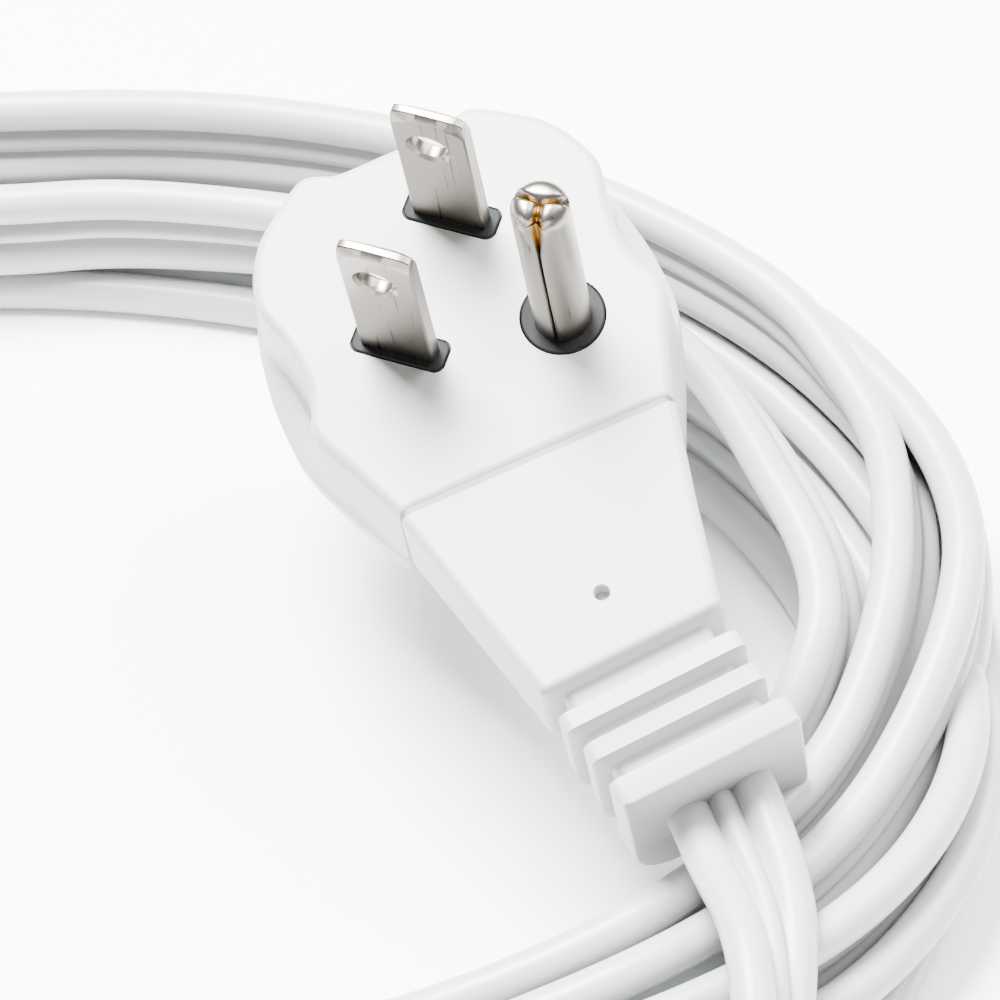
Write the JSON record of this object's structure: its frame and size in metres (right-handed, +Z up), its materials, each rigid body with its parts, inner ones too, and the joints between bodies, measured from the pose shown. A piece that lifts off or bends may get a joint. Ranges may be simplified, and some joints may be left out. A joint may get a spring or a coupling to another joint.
{
  "type": "extension cord",
  "caption": "White flat three-wire extension cord in an oval coil, with a right-angle grounded plug resting face up on it and a grounded connector inside it.",
  "frame": {"origin": "on the floor, under the middle of the box around the plug and the connector", "axes": "+Z up; +X along the coil's long axis, from the connector's end to the plug's end; the plug's cord leaves towards -Y"},
  "size_m": [0.172, 0.1318, 0.0525],
  "materials": {
    "white_pvc": "satin white moulded PVC",
    "white_cord": "smooth white PVC jacket",
    "black_nylon": "fine matt black nylon",
    "nickel_plate": "brushed nickel plate on brass",
    "brass": "stamped brass strip",
    "copper": "bare stranded copper",
    "green_core": "green PVC insulation",
    "black_core": "black PVC insulation"
  },
  "bodies": {
    "root": {"plug_head_body": "white_pvc", "strain_relief_neck": "white_pvc", "pin_carrier": "black_nylon", "line_blade": "nickel_plate", "neutral_blade": "nickel_plate", "ground_pin": "nickel_plate", "plug_line_lead": "black_core", "plug_neutral_lead": "white_cord", "plug_ground_lead": "green_core", "plug_line_copper": "copper", "plug_neutral_copper": "copper", "plug_ground_copper": "copper", "connector_body": "white_pvc", "connector_strain_relief": "white_pvc", "outlet_face_insert": "white_pvc", "line_contact": "brass", "neutral_contact": "brass", "ground_contact": "brass", "connector_line_lead": "black_core", "connector_neutral_lead": "white_cord", "connector_ground_lead": "green_core", "connector_line_copper": "copper", "connector_neutral_copper": "copper", "connector_ground_copper": "copper", "cord_coil": "white_cord", "cord_lead": "white_cord", "cord_tail": "white_cord"}
  },
  "joints": []
}
